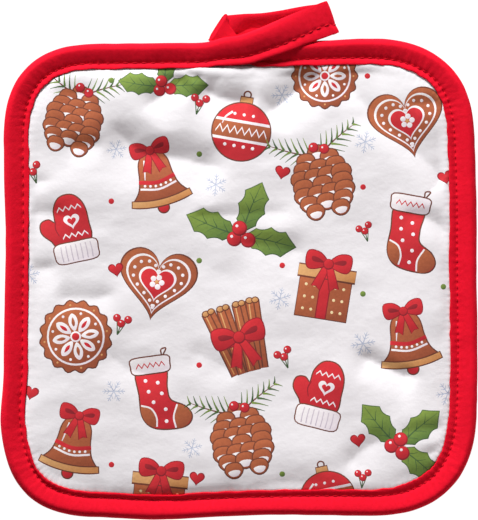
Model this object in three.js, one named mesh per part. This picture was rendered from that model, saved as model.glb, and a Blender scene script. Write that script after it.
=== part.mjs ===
// A square padded cotton mat, lying on its back: a filled pad, a folded tape bound round its edge, and the
// tape's tail folded into a hanging loop at the top. Millimetres, +Z up, +Y towards the loop.
import * as THREE from "three";
import { mergeVertices } from "three/addons/utils/BufferGeometryUtils.js";

// Outer edge of the bound mat, before its bows: four straight sides joined by eased corners
const SIDE = { left: -99.9, right: 100.4, bottom: -100.2, top: 100.4 };
const CORNERS = [
  { toX: 1, toY: 1, reach: 44.1 },
  { toX: -1, toY: 1, reach: 41.9 },
  { toX: -1, toY: -1, reach: 39.3 },
  { toX: 1, toY: -1, reach: 47.4 },
];
const CORNER_POWER = 2.5;
// Where hand sewing has pushed the edge out or drawn it in
const BOWS = [
  { x: -101, y: 15, spread: 15, out: -0.75 },
  { x: -101, y: -58, spread: 9, out: 1.4 },
  { x: -60, y: 101, spread: 17, out: -0.45 },
  { x: 55, y: 101, spread: 17, out: 1.7 },
  { x: -35, y: -101, spread: 15, out: 1.45 },
  { x: 20, y: -101, spread: 15, out: -0.5 },
  { x: 100, y: -30, spread: 17, out: 0.4 },
  { x: 101, y: 65, spread: 15, out: -0.95 },
];
const STATIONS = 108;
const POINTS_PER_CORNER = 60;

// Section of the binding: in is measured from the outer edge towards the middle of the mat
const SEAM_IN = 7.9;
const HEM_IN = 10.6;
const BINDING_SECTION = [
  { in: 0, z: 3.6 },
  { in: 0.6, z: 5.5 },
  { in: 2.0, z: 6.6 },
  { in: 3.9, z: 7.0 },
  { in: 6.1, z: 6.3 },
  { in: SEAM_IN, z: 5.0 },
  { in: 9.3, z: 5.9 },
  { in: HEM_IN, z: 6.75 },
  { in: HEM_IN, z: 5.85 },
  { in: SEAM_IN, z: 4.1 },
  { in: 6.1, z: 5.35 },
  { in: 4.1, z: 5.95 },
  { in: 2.3, z: 5.3 },
  { in: 1.15, z: 3.5 },
  { in: 2.3, z: 1.25 },
  { in: 5.0, z: 0.95 },
  { in: SEAM_IN, z: 1.45 },
  { in: HEM_IN, z: 0.95 },
  { in: HEM_IN, z: 0 },
  { in: 9.0, z: 0 },
  { in: SEAM_IN, z: 0.5 },
  { in: 6.6, z: 0 },
  { in: 2.4, z: 0 },
  { in: 0.7, z: 1.5 },
];

// Rim of the pad, from its flat underside round the edge inside the binding and out to its face
const PAD_RIM = [
  { in: 10.95, z: 0 },
  { in: 10.9, z: 1.25 },
  { in: SEAM_IN, z: 1.8 },
  { in: 5.0, z: 1.35 },
  { in: 2.7, z: 1.7 },
  { in: 1.55, z: 3.5 },
  { in: 2.7, z: 4.9 },
  { in: 4.2, z: 5.6 },
  { in: 6.1, z: 5.0 },
  { in: SEAM_IN, z: 3.75 },
  { in: 10.9, z: 5.5 },
  { in: 11.0, z: 6.2 },
];
const FACE_STARTS_IN = 12.2;
const FACE_RINGS = [1, 0.965, 0.92, 0.865, 0.8, 0.72, 0.62, 0.5, 0.36, 0.19];
const UNDERSIDE_RING = 0.6;

// Crown of the pad's face, and the plain rounded outline that its distance from the edge is taken from
const FACE_EDGE_Z = 6.75;
const CROWN = 1.25;
const CROWN_EASE = 13;
const PLAIN_CORNER = 38;

// Soft troughs and puffs of the face, from the seam inwards; up is negative for a trough. A fold fades by
// FOLD_FADE towards its inner end, and the seam holds it down by SEAM_HOLD over its first millimetres
const FOLD_FADE = 0.55;
const SEAM_HOLD = 0.5;
const SEAM_HOLD_REACH = 3;
const FOLDS = [
  { x1: -26.5, y1: 90.5, x2: -38.0, y2: 77.5, wide: 3.6, up: -0.9 },
  { x1: -17.5, y1: 90.5, x2: 1.5, y2: 80.5, wide: 3.8, up: -1.1 },
  { x1: 32.5, y1: 91.0, x2: 12.9, y2: 74.9, wide: 3.8, up: -1.2 },
  { x1: 46.5, y1: 90.0, x2: 64.8, y2: 69.4, wide: 4.2, up: -0.8 },
  { x1: -49.0, y1: 62.2, x2: -20.2, y2: 55.8, wide: 4.5, up: -0.8 },
  { x1: -72.0, y1: 82.6, x2: -59.2, y2: 77.5, wide: 4.5, up: -0.5 },
  { x1: -91.0, y1: 33.8, x2: -75.4, y2: 35.5, wide: 3.5, up: -0.6 },
  { x1: -91.0, y1: 6.2, x2: -78.3, y2: 7.4, wide: 3.5, up: -0.6 },
  { x1: 91.0, y1: 27.4, x2: 71.5, y2: 28.7, wide: 4.0, up: -0.6 },
  { x1: 91.0, y1: 48.6, x2: 78.8, y2: 41.4, wide: 3.6, up: -0.6 },
  { x1: 25.7, y1: -91.0, x2: 21.4, y2: -74.5, wide: 4.0, up: -0.6 },
  { x1: 66.0, y1: -76.5, x2: 78.8, y2: -66.0, wide: 4.5, up: -0.5 },
  { x1: -76.2, y1: -80.9, x2: -67.7, y2: -72.4, wide: 4.5, up: -0.5 },
  { x1: -22.0, y1: 84.5, x2: -20.0, y2: 70.0, wide: 6.5, up: 0.7 },
  { x1: 39.0, y1: 85.0, x2: 38.0, y2: 68.0, wide: 7.5, up: 0.7 },
];

// The tape's start lies pressed flat under the loop, and the pad's rim inside it a little flatter still.
// The face comes back to its full height over this share of the way to the middle
const PRESSED = { from: -23, full: -16, fullTo: 9, to: 35, least: 3.0 };
const TAPE_KEEPS = 0.5;
const RIM_KEEPS = 0.38;
const PRESSED_REACH = 0.2;

// Hanging loop: outer is the folded edge of the tape and inner is its stitched edge
const TAPE_THICK = 1.7;
const FRONT_RUN = [
  { outerX: -14.5, outerY: 101.6, innerX: -13.5, innerY: 91.0, z: 6.2 },
  { outerX: -7.0, outerY: 103.0, innerX: -4.5, innerY: 91.4, z: 6.3 },
  { outerX: 0.0, outerY: 104.4, innerX: 4.0, innerY: 92.5, z: 6.6 },
  { outerX: 7.4, outerY: 106.5, innerX: 12.9, innerY: 94.3, z: 7.1 },
  { outerX: 17.2, outerY: 110.3, innerX: 22.3, innerY: 98.1, z: 7.25 },
  { outerX: 24.4, outerY: 113.4, innerX: 29.4, innerY: 101.2, z: 7.35 },
  { outerX: 33.2, outerY: 117.0, innerX: 37.5, innerY: 104.0, z: 7.4 },
];
const BACK_RUN = [
  { outerX: 33.2, outerY: 117.0, innerX: 37.5, innerY: 104.0, z: 1.06 },
  { outerX: 27.0, outerY: 115.6, innerX: 29.6, innerY: 102.9, z: 1.06 },
  { outerX: 17.2, outerY: 113.7, innerX: 18.8, innerY: 102.4, z: 1.06 },
  { outerX: 9.5, outerY: 112.8, innerX: 10.2, innerY: 102.1, z: 1.06 },
  { outerX: -4.5, outerY: 111.7, innerX: -10.8, innerY: 101.9, z: 1.06 },
];
const TAIL = [
  { outerX: -4.5, outerY: 111.7, innerX: -10.8, innerY: 101.9, z: 3.2 },
  { outerX: -2.4, outerY: 107.5, innerX: -9.9, innerY: 101.8, z: 3.2 },
  { outerX: 0.2, outerY: 102.2, innerX: -9.0, innerY: 101.7, z: 3.2 },
];
const STEPS_PER_ROW = 3;
const RIGHT_FOLD_STEPS = 8;
const LEFT_FOLD_STEPS = 6;
// Section of the flat tape: across runs from its folded edge to its stitched edge, up is in tape thicknesses
const TAPE_SECTION = [
  { across: 0, up: 0 },
  { across: 0.05, up: 0.42 },
  { across: 0.3, up: 0.62 },
  { across: 0.58, up: 0.48 },
  { across: 0.74, up: 0.26 },
  { across: 0.88, up: 0.44 },
  { across: 1, up: 0.3 },
  { across: 1, up: -0.3 },
  { across: 0.88, up: -0.42 },
  { across: 0.74, up: -0.36 },
  { across: 0.4, up: -0.5 },
  { across: 0.06, up: -0.42 },
];

const cotton = (color, roughness) =>
  new THREE.MeshStandardMaterial({ color, roughness, metalness: 0, side: THREE.DoubleSide });
const PRINTED_COTTON = cotton("#f0f1f4", 0.9);
const RED_TAPE = cotton("#d9122b", 0.8);

const ease = (t) => {
  const c = THREE.MathUtils.clamp(t, 0, 1);
  return c * c * (3 - 2 * c);
};

// Outer edge as evenly spaced stations, each with its point and the direction into the mat
function edgeStations(count) {
  const raw = [];
  CORNERS.forEach(({ toX, toY, reach }, corner) => {
    const cx = (toX > 0 ? SIDE.right : SIDE.left) - toX * reach;
    const cy = (toY > 0 ? SIDE.top : SIDE.bottom) - toY * reach;
    for (let i = 0; i < POINTS_PER_CORNER; i++) {
      const t = i / (POINTS_PER_CORNER - 1);
      const turn = ((corner % 2 === 0 ? t : 1 - t) * Math.PI) / 2;
      const x = cx + toX * reach * Math.cos(turn) ** (2 / CORNER_POWER);
      const y = cy + toY * reach * Math.sin(turn) ** (2 / CORNER_POWER);
      raw.push(new THREE.Vector3(x, y, 0));
    }
  });
  const even = resampled(raw, count);
  const bowed = even.map((p, i) => {
    const out = inward(even, i).negate();
    const push = BOWS.reduce(
      (sum, b) => sum + b.out * Math.exp(-0.5 * (Math.hypot(p.x - b.x, p.y - b.y) / b.spread) ** 2),
      0,
    );
    return p.clone().addScaledVector(out, push);
  });
  return bowed.map((point, i) => ({ point, into: inward(bowed, i) }));
}

function resampled(points, count) {
  const closed = [...points, points[0]];
  const lengths = [0];
  for (let i = 1; i < closed.length; i++) lengths.push(lengths[i - 1] + closed[i].distanceTo(closed[i - 1]));
  const total = lengths[lengths.length - 1];
  const out = [];
  let seg = 1;
  for (let i = 0; i < count; i++) {
    const along = (total * i) / count;
    while (lengths[seg] < along) seg++;
    const t = (along - lengths[seg - 1]) / (lengths[seg] - lengths[seg - 1]);
    out.push(closed[seg - 1].clone().lerp(closed[seg], t));
  }
  return out;
}

// The edge runs anticlockwise, so inwards is to the left of its direction
function inward(points, i) {
  const before = points[(i + points.length - 1) % points.length];
  const after = points[(i + 1) % points.length];
  const along = after.clone().sub(before).normalize();
  return new THREE.Vector3(-along.y, along.x, 0);
}

// How flat the tape is pressed at a place on the edge: 0 is its full roll, 1 is under the loop
function pressing({ x, y }) {
  if (y < 0) return 0;
  const rise = ease((x - PRESSED.from) / (PRESSED.full - PRESSED.from));
  const fall = ease((PRESSED.to - x) / (PRESSED.to - PRESSED.fullTo));
  return Math.min(rise, fall);
}

function pressedZ(z, keeps, place) {
  const above = Math.max(0, z - PRESSED.least);
  return z - above * (1 - keeps) * pressing(place);
}

// Distance from the mat's straight-sided outline, measured inwards
function inset(x, y) {
  const halfX = (SIDE.right - SIDE.left) / 2;
  const halfY = (SIDE.top - SIDE.bottom) / 2;
  const qx = Math.abs(x - (SIDE.right + SIDE.left) / 2) - (halfX - PLAIN_CORNER);
  const qy = Math.abs(y - (SIDE.top + SIDE.bottom) / 2) - (halfY - PLAIN_CORNER);
  const past = Math.hypot(Math.max(qx, 0), Math.max(qy, 0));
  return PLAIN_CORNER - past - Math.min(Math.max(qx, qy), 0);
}

function foldLift({ x1, y1, x2, y2, wide, up }, x, y) {
  const dx = x2 - x1;
  const dy = y2 - y1;
  const along = ((x - x1) * dx + (y - y1) * dy) / (dx * dx + dy * dy);
  const near = THREE.MathUtils.clamp(along, 0, 1);
  const away = Math.hypot(x - x1 - near * dx, y - y1 - near * dy) / wide;
  return up * (1 - FOLD_FADE * near) * Math.exp(-0.5 * away * away);
}

// Height of the pad's face
function faceZ(x, y) {
  const deep = Math.max(0, inset(x, y) - FACE_STARTS_IN);
  const crown = CROWN * (1 - Math.exp(-deep / CROWN_EASE));
  const folds = FOLDS.reduce((sum, f) => sum + foldLift(f, x, y), 0);
  return FACE_EDGE_Z + crown + folds * (1 - SEAM_HOLD * Math.exp(-deep / SEAM_HOLD_REACH));
}

// Closed mesh from rings of points; a ring of one point closes an end. Points nearer than MERGED are one
const MERGED = 1e-4;
function meshFromRings(rings, closedRound) {
  const positions = [];
  const starts = [];
  rings.forEach((ring) => {
    starts.push(positions.length / 3);
    ring.forEach((p) => positions.push(p.x, p.y, p.z));
  });
  const faces = [];
  const last = closedRound ? rings.length : rings.length - 1;
  for (let r = 0; r < last; r++) {
    const next = (r + 1) % rings.length;
    const a = rings[r].length;
    const b = rings[next].length;
    const n = Math.max(a, b);
    for (let i = 0; i < n; i++) {
      const j = (i + 1) % n;
      if (a > 1) faces.push(starts[r] + i, starts[r] + j, starts[next] + (b > 1 ? i : 0));
      if (b > 1) faces.push(starts[r] + (a > 1 ? j : 0), starts[next] + j, starts[next] + i);
    }
  }
  const geometry = new THREE.BufferGeometry();
  geometry.setAttribute("position", new THREE.Float32BufferAttribute(positions, 3));
  geometry.setIndex(faces);
  return mergeVertices(geometry, MERGED);
}

function namedMesh(name, geometry, material) {
  const shaded = geometry.toNonIndexed();
  shaded.computeVertexNormals();
  const mesh = new THREE.Mesh(shaded, material);
  mesh.name = name;
  return mesh;
}

// A row of a section at one place on the edge, with what is pressed under the loop keeping a share of its height
function placed({ point, into }, row, keeps) {
  const p = point.clone().addScaledVector(into, row.in);
  return p.setZ(pressedZ(row.z, keeps, point));
}

function makeBinding(stations) {
  const section = [...BINDING_SECTION].reverse();
  const rings = stations.map((s) => section.map((row) => placed(s, row, TAPE_KEEPS)));
  return namedMesh("binding", meshFromRings(rings, true), RED_TAPE);
}

function makePad(stations) {
  const middle = new THREE.Vector3((SIDE.left + SIDE.right) / 2, (SIDE.top + SIDE.bottom) / 2, 0);
  const towardsMiddle = (row, share) =>
    stations.map((s) => placed(s, row, 1).sub(middle).multiplyScalar(share).add(middle));
  const underside = towardsMiddle(PAD_RIM[0], UNDERSIDE_RING);
  const rim = PAD_RIM.map((row) => stations.map((s) => placed(s, row, RIM_KEEPS)));
  const edgeDrop = (station, ring) => {
    const drop = FACE_EDGE_Z - pressedZ(FACE_EDGE_Z, RIM_KEEPS, station.point);
    return drop * ease(1 - (1 - ring) / PRESSED_REACH);
  };
  const face = FACE_RINGS.map((ring) =>
    towardsMiddle({ in: FACE_STARTS_IN, z: 0 }, ring).map((p, i) =>
      p.setZ(faceZ(p.x, p.y) - edgeDrop(stations[i], ring)),
    ),
  );
  const crownPoint = middle.clone().setZ(faceZ(middle.x, middle.y));
  const rings = [[middle.clone()], underside, ...rim, ...face, [crownPoint]];
  return namedMesh("pad", meshFromRings(rings, false), PRINTED_COTTON);
}

// A row's two edges as points
const rulingOf = (row) => ({
  outer: new THREE.Vector3(row.outerX, row.outerY, row.z),
  inner: new THREE.Vector3(row.innerX, row.innerY, row.z),
});

// Flat run of tape through its rows, with the tape's upper side facing up or down
function runOf(rows, facing) {
  const rulings = rows.map(rulingOf);
  const outer = new THREE.CatmullRomCurve3(rulings.map((r) => r.outer), false, "centripetal");
  const inner = new THREE.CatmullRomCurve3(rulings.map((r) => r.inner), false, "centripetal");
  const steps = (rows.length - 1) * STEPS_PER_ROW;
  return Array.from({ length: steps + 1 }, (_, i) => ({
    outer: outer.getPoint(i / steps),
    inner: inner.getPoint(i / steps),
    up: new THREE.Vector3(0, 0, facing),
  }));
}

// Fold over one ruling, swinging from the first height to the second about the line between them
function foldOf(from, to, outwards, steps) {
  const a = rulingOf(from);
  const b = rulingOf(to);
  const radius = (from.z - to.z) / 2;
  return Array.from({ length: steps - 1 }, (_, k) => {
    const turn = (Math.PI * (k + 1)) / steps;
    const swing = outwards.clone().multiplyScalar(Math.abs(radius) * Math.sin(turn));
    const lift = radius * (Math.cos(turn) - 1);
    const up = outwards.clone().multiplyScalar(Math.sin(turn));
    up.z = Math.cos(turn);
    if (radius < 0) up.negate();
    return {
      outer: a.outer.clone().lerp(b.outer, 0.5).setZ(from.z + lift).add(swing),
      inner: a.inner.clone().lerp(b.inner, 0.5).setZ(from.z + lift).add(swing),
      up: up.normalize(),
    };
  });
}

// Horizontal direction square to a ruling, on the side of the given sign along X
function squareTo(row, side) {
  const along = new THREE.Vector3(row.innerX - row.outerX, row.innerY - row.outerY, 0).normalize();
  const square = new THREE.Vector3(-along.y, along.x, 0);
  return square.x * side > 0 ? square : square.negate();
}

function makeHangingLoop() {
  const rightEnd = FRONT_RUN[FRONT_RUN.length - 1];
  const leftEnd = BACK_RUN[BACK_RUN.length - 1];
  const rulings = [
    ...runOf(FRONT_RUN, 1),
    ...foldOf(rightEnd, BACK_RUN[0], squareTo(rightEnd, 1), RIGHT_FOLD_STEPS),
    ...runOf(BACK_RUN, -1),
    ...foldOf(leftEnd, TAIL[0], squareTo(leftEnd, -1), LEFT_FOLD_STEPS),
    ...runOf(TAIL, 1),
  ];
  const rings = rulings.map(({ outer, inner, up }) =>
    TAPE_SECTION.map((row) =>
      outer.clone().lerp(inner, row.across).addScaledVector(up, row.up * TAPE_THICK),
    ),
  );
  const middleOf = (ring) =>
    ring.reduce((sum, p) => sum.add(p), new THREE.Vector3()).multiplyScalar(1 / ring.length);
  const capped = [[middleOf(rings[0])], ...rings, [middleOf(rings[rings.length - 1])]];
  return namedMesh("hanging_loop", meshFromRings(capped, false), RED_TAPE);
}

const stations = edgeStations(STATIONS);
const mat = new THREE.Group();
mat.add(makePad(stations), makeBinding(stations), makeHangingLoop());

// The origin is under the middle of the whole mat, loop included
const box = new THREE.Box3().setFromObject(mat);
const centre = box.getCenter(new THREE.Vector3());
mat.position.set(-centre.x, -centre.y, -box.min.z);

export default mat;
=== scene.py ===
"""A square padded cotton mat with a bound edge and a hanging loop, lying on its back and seen from above.

Shapes are worked out in millimetres in the mat's own frame, with +Y towards the loop, and every mesh is
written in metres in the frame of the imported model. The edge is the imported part's own, and the folds and the
loop follow its shapes.
"""

import math
from types import SimpleNamespace

import bpy
import numpy as np
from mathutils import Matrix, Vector
from mathutils.geometry import delaunay_2d_cdt


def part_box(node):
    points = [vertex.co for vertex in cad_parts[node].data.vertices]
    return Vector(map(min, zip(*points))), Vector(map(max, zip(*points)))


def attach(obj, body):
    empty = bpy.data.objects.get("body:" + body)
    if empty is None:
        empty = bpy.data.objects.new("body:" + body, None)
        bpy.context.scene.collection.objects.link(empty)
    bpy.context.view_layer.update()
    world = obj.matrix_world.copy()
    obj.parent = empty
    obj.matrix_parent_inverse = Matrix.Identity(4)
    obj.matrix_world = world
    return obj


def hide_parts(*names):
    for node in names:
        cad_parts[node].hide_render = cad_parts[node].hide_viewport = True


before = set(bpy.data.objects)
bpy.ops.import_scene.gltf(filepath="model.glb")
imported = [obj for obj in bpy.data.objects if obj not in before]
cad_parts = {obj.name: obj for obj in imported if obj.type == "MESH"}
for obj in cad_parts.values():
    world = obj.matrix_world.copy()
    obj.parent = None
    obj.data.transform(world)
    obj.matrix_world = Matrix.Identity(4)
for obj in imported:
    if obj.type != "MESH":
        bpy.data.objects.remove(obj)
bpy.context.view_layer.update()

MM = 0.001
# The table lies this far under the mat, in metres
TABLE_Z = -0.0004


def rows(names, table):
    """The table's rows, each by the names of its columns."""
    return [dict(zip(names.split(), row)) for row in table]


# Outer edge of the bound mat, before its bows: four straight sides joined by eased corners
SIDES = {"x": {-1: -99.9, 1: 100.4}, "y": {-1: -100.2, 1: 100.4}}
CORNERS = rows("to_x to_y reach", [(1, 1, 44.1), (-1, 1, 41.9), (-1, -1, 39.3), (1, -1, 47.4)])
CORNER_POWER = 2.5
# Where hand sewing has pushed the edge out or drawn it in
BOWS = rows("x y spread out", [
    (-101, 15, 15, -0.75), (-101, -58, 9, 1.4), (-60, 101, 17, -0.45), (55, 101, 17, 1.7),
    (-35, -101, 15, 1.45), (20, -101, 15, -0.5), (100, -30, 17, 0.4), (101, 65, 15, -0.95),
])
EDGE_POINTS = 1480

# Distances of the binding's seam and hem inwards from the outer edge
SEAM_IN = 7.9
HEM_IN = 10.6

# The tape's start lies pressed flat under the loop, and the pad's rim inside it a little flatter still
PRESSED = {"from": -23, "full": -16, "full_to": 5, "to": 22, "least": 3.0}
TAPE_KEEPS = 0.5
RIM_KEEPS = 0.38
PRESSED_REACH = 1.8
# Sewn by hand and eye, the binding changes round the edge: the distances inwards of its seam and hem, and how
# far its roll leans outwards
SEWN_PLACES = rows("x y seam hem lean", [
    (-100, 52, 8.4, 10.9, 0.2), (-100, 15, 7.9, 10.1, 0.25), (-101, -30, 8.2, 10.6, 0.3),
    (-88, -88, 8.8, 10.9, 0.15), (-50, -101, 8.6, 10.8, 0.25), (5, -101, 8.1, 10.8, 0.25),
    (52, -101, 8.7, 11.5, 0.25), (88, -86, 9, 12.3, 0.25), (101, -20, 8.6, 11.9, 0.9),
    (101, 45, 8.6, 11.7, 0.5), (84, 92, 8.9, 11.5, -0.8), (60, 102, 8.8, 11.4, -0.1),
    (36, 101, 7.8, 10.6, 0), (-40, 100, 8.7, 11.2, 0.1), (-85, 88, 8.7, 11.1, -0.1),
])
SEWN_REACH = 14.0

# Rim of the pad inside the binding, from under the front hem round the edge to the back cloth
CLOTH_FROM_IN = 9.0
RIM = rows("in z", [
    (SEAM_IN, 3.75), (6.1, 4.8), (4.2, 5.4), (2.7, 4.8), (1.75, 3.5), (2.7, 1.9), (5, 1.5), (SEAM_IN, 1.9),
    (CLOTH_FROM_IN, 1.3),
])
# Height of the front cloth as it comes out from under the hem, up to where the crown takes over
FRONT_RISE = rows("in z", [
    (CLOTH_FROM_IN, 4.3), (10, 5.25), (10.6, 5.85), (11.1, 6.12), (12, 6.32), (14, 6.66), (17, 7.05),
    (20, 7.3), (24, 7.5), (28, 7.55),
])
# Height of the back cloth, which comes down to the table
BACK_FALL = rows("in z", [
    (CLOTH_FROM_IN, 1.3), (10.6, 0.8), (12, 0.25), (14.5, 0),
])
CROWN = 0.35
CROWN_EASE = 18.0
CROWN_FROM_IN = 14.0
# Where the folds and the lumps begin, and over how far they grow to their full height
FREE_FROM_IN = 10.4
FREE_OVER = 4.5
# How many places for a small gather there are round the edge
GATHERS = 128
# Rows of the front cloth's net that follow the edge, closest where the cloth rises
NET_ROWS_IN = (9.8, 10.4, 11.0, 11.6, 12.3, 13.1, 14.1, 15.3)

# How round the floor of a fold is, how softly it takes the bends of its line, and how sharply its rise ends
FOLD_ROUND = 0.7
FOLD_SOFT = 2.2
FOLD_CREST = 4.5
# Folds of the face. Each is a valley along a line drawn from left to right, which fades in by starts and out
# from fades on, as shares of its length. The cloth rises evenly from it, over one distance above the line and
# another below
FOLDS = rows("deep above below starts fades line", [
    (1.9, 6, 12, 0.35, 0.78, [(-43, 70.5), (-37, 74.5), (-32, 78), (-26.5, 82.5), (-21.5, 87.5)]),
    (2.9, 8.5, 12, 0.36, 0.75, [(-19, 86), (-15, 81.5), (-10.5, 78), (-4.5, 76), (2.5, 75.5), (10.5, 76.5)]),
    (1.1, 3.5, 6, 0.2, 0.6, [(-21.5, 89), (-18.5, 86.5), (-15, 83.5), (-11, 80.5)]),
    (3, 9.5, 12, 0.25, 0.8, [(9.5, 68), (13.5, 71), (19, 75.5), (25, 80.5), (29.5, 84.5), (34.5, 89)]),
    (1.6, 15, 9, 0.2, 0.95, [(39.5, 88.5), (46.5, 81), (53, 74.5), (65.5, 63), (78, 51), (88, 41.5)]),
    (1.3, 7, 10, 0.35, 0.5, [(39.5, 89), (44.5, 84), (51, 78), (56.5, 72.5)]),
    (2.2, 9, 14, 0.36, 0.84,
     [(-56, 69), (-53, 64.5), (-48.5, 59.5), (-43, 55), (-35.5, 52), (-25, 51), (-14.5, 48.5), (-2, 46)]),
    (1, 5, 8, 0.2, 0.6, [(-75, 56), (-67, 56), (-59, 56.5), (-52, 56.5)]),
    (1.1, 7, 10, 0.2, 0.5, [(-76.5, 78.5), (-70.5, 78.5), (-63, 78.5), (-54.5, 78)]),
    (0.7, 4, 8, 0.1, 0.8, [(-18.5, 26.5), (-10.5, 27), (0, 27.5), (9.5, 28), (25.5, 28.5)]),
    (1.1, 7, 9, 0.35, 0.8, [(-6, 15.5), (6.5, 15), (17, 13.5), (30.5, 11)]),
    (1, 5.5, 9, 0.2, 0.7, [(-80, -7.5), (-67, -7.5), (-59, -7.5), (-49.5, -5)]),
    (1, 11, 9, 0.3, 0.7, [(-61, -25.5), (-53.5, -33), (-44, -38.5), (-35.5, -39.5), (-26, -36)]),
    (0.7, 6, 8, 0.25, 0.6, [(-24, -29.5), (-14.5, -32.5), (-5, -38), (1, -45.5)]),
    (1.8, 5, 9, 0.25, 0.75, [(47.5, -30.5), (55, -34), (62.5, -37.5), (69.5, -40.5), (77.5, -42)]),
    (0.6, 3.5, 5, 0.4, 0.95, [(63.5, -64.5), (74, -63.5), (86.5, -62.5)]),
    (0.7, 3.5, 5, 0.5, 0.98, [(74, -74), (81, -73), (88, -71.5)]),
    (1, 5.5, 8, 0.35, 0.6, [(41.5, -82), (46.5, -77), (51.5, -72.5), (58.5, -68.5), (67.5, -66)]),
    (1.1, 4.5, 7, 0.3, 0.97, [(71, 74), (78, 74.5), (87, 75.5)]),
    (1, 6, 9, 0.1, 0.6, [(-90, 28), (-80, 28), (-67, 25)]),
    (0.9, 4.5, 8, 0.1, 0.6, [(-90, 4.5), (-83, 4.5), (-73.5, 6.5)]),
    (0.6, 3, 5, 0.1, 0.5, [(-90, 40.5), (-84, 41.5), (-77.5, 42)]),
    (1, 4.5, 7, 0.35, 0.95, [(64, 27), (74, 27), (82.5, 24), (88.5, 18.5)]),
])
# Soft lumps of the filling under the cloth: how high, how wide across and along, and how far they are turned
LUMPS = rows("high across along turn seed", [
    (0.5, 30, 16, 0, 15), (0.16, 13, 8, 9, 23), (0.045, 6, 3.4, 7, 4),
])

# The tape's outside from its front hem over the roll to its outer edge, and back underneath to its other hem.
# in and z are its place where it is wrapped round the pad, across and flat where it lies flat in the loop
TAPE_SECTION = rows("in z across flat", [
    (10.6, 6.2, 1, 0.4), (10.42, 6.48, 0.99, 0.8), (9.6, 6.38, 0.92, 0.9), (8.7, 6, 0.84, 0.7),
    (SEAM_IN, 5.68, 0.76, 0.45), (7.1, 5.9, 0.68, 0.75), (5.8, 6.3, 0.55, 1.1), (4.1, 6.75, 0.38, 1.45),
    (2.5, 6.85, 0.2, 1.45), (0.9, 5.9, 0.07, 1), (0.15, 4.5, 0.012, 0.4), (0, 3.4, 0, 0),
    (0.2, 2.2, 0.015, -0.4), (0.9, 0.9, 0.07, -0.7), (2.3, 0.1, 0.2, -0.85), (4.2, 0, 0.4, -0.9),
    (6.4, 0.1, 0.6, -0.85), (SEAM_IN, 0.6, 0.76, -0.6), (9.2, 0.1, 0.88, -0.8), (HEM_IN, 0.1, 1, -0.7),
])
# Its rows at the outer edge, at the seam and at the same seam behind, and how finely it is made
NOSE_ROW = 11
SEAM_ROW = 4
BACK_SEAM_ROW = 17
FRONT_SAMPLES = 33
BACK_SAMPLES = 12
LINING_EVERY = 4
TAPE_CLOTH = 0.5
TAPE_STEP = 0.7
UP = (0, 0, 1)
DOWN = (0, 0, -1)

# Where the tape starts and where it comes round again to leave the mat
TAPE_STARTS_X = -16.0
TAPE_LEAVES_X = -26.0
# Where its half behind the mat has drawn back to the edge and comes out again in front of it
CROSSES_X = -8.0
# Height at which the tape turns from the ring into the hanging loop
RING_Z = 6.2
# Hanging loop: outer is the folded edge of the tape and inner is its stitched edge
FRONT_RUN = rows("outer inner z", [
    ((-14.5, 100.6), (-13.5, 90), 6.3), ((-7, 102.2), (-4.5, 90.2), 6.4), ((0, 103.2), (4, 91.2), 6.6),
    ((7.4, 105.6), (12.9, 93.9), 7.1), ((17.2, 109.8), (22.3, 96.9), 7.4),
    ((24.8, 113.1), (29.8, 99.7), 7), ((35.1, 117.2), (40.1, 104), 5.2),
])
BACK_RUN = rows("outer inner z", [
    ((35.1, 117.2), (40.1, 104), 1.2), ((27, 116.1), (29.6, 102.9), 1), ((17.2, 114.3), (18.8, 102.4), 1),
    ((9.5, 113.2), (10.2, 102.1), 1), ((2, 112.9), (-2, 101.2), 1), ((-5.2, 112.3), (-12.3, 100.8), 1),
])
TAIL = rows("outer inner z", [
    ((-5.2, 112.3), (-12.3, 100.8), 2.6), ((-4.9, 109), (-11.6, 100.7), 2.6),
    ((-3, 106.1), (-10.8, 100.7), 2.6), ((-1, 103.6), (-10, 100.7), 2.6),
    ((0.6, 101.8), (-9.2, 100.7), 2.6),
])

# Stitching of the seam: a stitch's length, that in the corners and along the right side, and the thread
STITCH = 3.85
SHORT_STITCH = 2.75
THREAD_RADIUS = 0.2
THREAD_SHOWS = (0.14, 0.86)


# Small mathematics
def ease(t):
    t = np.clip(t, 0.0, 1.0)
    return t * t * (3 - 2 * t)


def unit(v):
    return v / np.maximum(np.linalg.norm(v, axis=-1, keepdims=True), 1e-12)


def left_of(along):
    """Square to the left of each direction."""
    return np.column_stack([-along[:, 1], along[:, 0]])


def full_turn(count):
    return np.linspace(0, 2 * math.pi, count, endpoint=False)


def smooth_curve(given, count, closed=False):
    """count points on a smooth curve through the given ones."""
    given = np.asarray(given, float)
    if closed:
        spans = len(given)
        reach = np.vstack([given[-1:], given, given[:2]])
    else:
        spans = len(given) - 1
        reach = np.vstack([2 * given[:1] - given[1:2], given, 2 * given[-1:] - given[-2:-1]])
    t = np.linspace(0, spans, count, endpoint=not closed)
    k = np.minimum(t.astype(int), spans - 1)
    u = (t - k)[:, None]
    a, b, c, d = reach[k], reach[k + 1], reach[k + 2], reach[k + 3]
    return b + 0.5 * u * (c - a + u * (2 * a - 5 * b + 4 * c - d + u * (3 * (b - c) + d - a)))


def height_from(table, deep):
    """Height by distance inwards, smooth between a table's rows."""
    dense = smooth_curve([[row["in"], row["z"]] for row in table], 30 * len(table))
    return np.interp(deep, dense[:, 0], dense[:, 1])


def resampled(points, count, closed=True):
    """The same line with points evenly spaced by its first two columns."""
    line = np.vstack([points, points[:1]]) if closed else points
    step = np.linalg.norm(np.diff(line[:, :2], axis=0), axis=1)
    run = np.concatenate([[0], np.cumsum(step)])
    at = np.linspace(0, run[-1], count, endpoint=not closed)
    return np.column_stack([np.interp(at, run, column) for column in line.T])


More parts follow.
